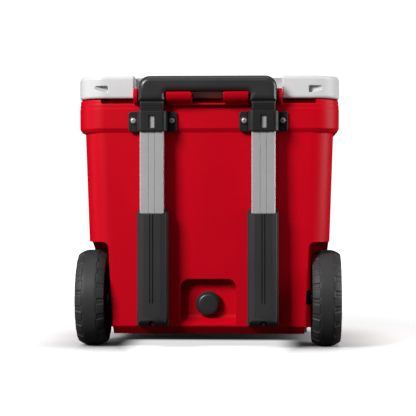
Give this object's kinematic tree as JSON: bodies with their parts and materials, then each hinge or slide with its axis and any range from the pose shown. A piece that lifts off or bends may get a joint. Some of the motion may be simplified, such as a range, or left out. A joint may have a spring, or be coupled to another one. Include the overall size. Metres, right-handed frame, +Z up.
{
  "type": "wheeled hard cooler",
  "caption": "Foam-filled hard cooler with a hinged lid, a telescoping pull handle with release button, lugged wheels, a screw drain plug and front latches.",
  "frame": {"origin": "on the floor, under the centre of the outer box", "axes": "+Z up, the handle side faces -Y, +X to the right seen from the handle side"},
  "size_m": [0.488, 0.452, 0.5],
  "materials": {
    "red_plastic": "fine moulded texture, satin",
    "white_plastic": "fine moulded texture, satin",
    "black_plastic": "fine textured, satin",
    "tube_aluminium": "satin anodised, drawn lengthways",
    "steel": "brushed",
    "tyre_rubber": "matte moulded tread",
    "wheel_plastic": "satin",
    "latch_rubber": "matte",
    "seal_rubber": "soft matte",
    "bush_nylon": "natural",
    "foam": "closed-cell foam"
  },
  "bodies": {
    "cooler_body": {"body_shell": "red_plastic", "body_foam": "foam", "hinge_rod": "steel", "front_foot_left": "latch_rubber", "front_foot_right": "latch_rubber", "foot_screws": "steel", "drain_collar": "black_plastic", "handle_bracket_left": "black_plastic", "handle_bracket_right": "black_plastic", "bracket_screws": "steel", "handle_sleeve_left": "black_plastic", "handle_sleeve_right": "black_plastic", "sleeve_screws": "steel", "axle_boss_left": "black_plastic", "axle_boss_right": "black_plastic", "axle_left": "steel", "axle_right": "steel", "axle_washers": "steel", "axle_clips": "steel", "latch_keeper_left": "black_plastic", "latch_keeper_right": "black_plastic", "keeper_screws": "steel"},
    "lid": {"lid_shell": "white_plastic", "lid_foam": "foam", "lid_gasket": "seal_rubber", "latch_pins": "steel"},
    "latch_left": {"latch_left": "latch_rubber"},
    "latch_right": {"latch_right": "latch_rubber"},
    "outer_stage": {"mid_tube_left": "tube_aluminium", "mid_tube_right": "tube_aluminium", "mid_collar_left": "black_plastic", "mid_collar_right": "black_plastic"},
    "inner_stage": {"inner_tube_left": "tube_aluminium", "inner_tube_right": "tube_aluminium", "lock_block_left": "black_plastic", "lock_block_right": "black_plastic", "handle_grip": "black_plastic", "button_spring": "steel"},
    "button": {"release_button": "black_plastic", "button_yoke": "black_plastic", "push_rod_left": "steel", "push_rod_right": "steel"},
    "lock_pin_left": {"lock_pin_left": "steel"},
    "lock_pin_right": {"lock_pin_right": "steel"},
    "wheel_left": {"tyre_left": "tyre_rubber", "wheel_hub_left": "wheel_plastic", "wheel_bush_left": "bush_nylon", "hub_cap_left": "wheel_plastic"},
    "wheel_right": {"tyre_right": "tyre_rubber", "wheel_hub_right": "wheel_plastic", "wheel_bush_right": "bush_nylon", "hub_cap_right": "wheel_plastic"},
    "drain_seal": {"drain_seal": "seal_rubber"},
    "drain_plug": {"drain_plug": "black_plastic"}
  },
  "joints": [
    {"name": "lid_open", "type": "hinge", "parent": "cooler_body", "child": "lid", "pos_m": [0, -0.18375, 0.46775], "axis": [-1, 0, 0], "range_deg": [-95, 0]},
    {"name": "latch_left_flip", "type": "hinge", "parent": "lid", "child": "latch_left", "pos_m": [-0.12, 0.213, 0.4725], "axis": [1, 0, 0], "range_deg": [0, 100]},
    {"name": "latch_right_flip", "type": "hinge", "parent": "lid", "child": "latch_right", "pos_m": [0.12, 0.213, 0.4725], "axis": [1, 0, 0], "range_deg": [0, 100]},
    {"name": "handle_outer_slide", "type": "slide", "parent": "cooler_body", "child": "outer_stage", "axis": [0, 0, 1], "range_m": [0, 0.17]},
    {"name": "handle_inner_slide", "type": "slide", "parent": "outer_stage", "child": "inner_stage", "axis": [0, 0, 1], "range_m": [0, 0.3]},
    {"name": "button_press", "type": "slide", "parent": "inner_stage", "child": "button", "axis": [0, 0, -1], "range_m": [0, 0.004], "stiffness_N_per_m": 900, "springref_m": -0.002, "deforming": ["button_spring"]},
    {"name": "lock_pin_left_retract", "type": "slide", "parent": "inner_stage", "child": "lock_pin_left", "axis": [1, 0, 0], "range_m": [0, 0.003]},
    {"name": "lock_pin_right_retract", "type": "slide", "parent": "inner_stage", "child": "lock_pin_right", "axis": [-1, 0, 0], "range_m": [0, 0.003]},
    {"name": "wheel_left_spin", "type": "hinge", "parent": "cooler_body", "child": "wheel_left", "pos_m": [-0.2175, -0.124, 0.0895], "axis": [1, 0, 0], "continuous": true},
    {"name": "wheel_right_spin", "type": "hinge", "parent": "cooler_body", "child": "wheel_right", "pos_m": [0.2175, -0.124, 0.0895], "axis": [1, 0, 0], "continuous": true},
    {"name": "drain_back_out", "type": "slide", "parent": "cooler_body", "child": "drain_seal", "axis": [0, -1, 0], "range_m": [0, 0.006]},
    {"name": "drain_plug_turn", "type": "hinge", "parent": "drain_seal", "child": "drain_plug", "pos_m": [0, -0.16, 0.0802], "axis": [0, -1, 0], "range_deg": [0, 720]}
  ],
  "couplings": [
    {"joint": "lock_pin_left_retract", "follows": "button_press", "ratio": 0.75},
    {"joint": "lock_pin_right_retract", "follows": "button_press", "ratio": 0.75},
    {"joint": "drain_back_out", "follows": "drain_plug_turn", "m_per_rad": 0.000477}
  ]
}
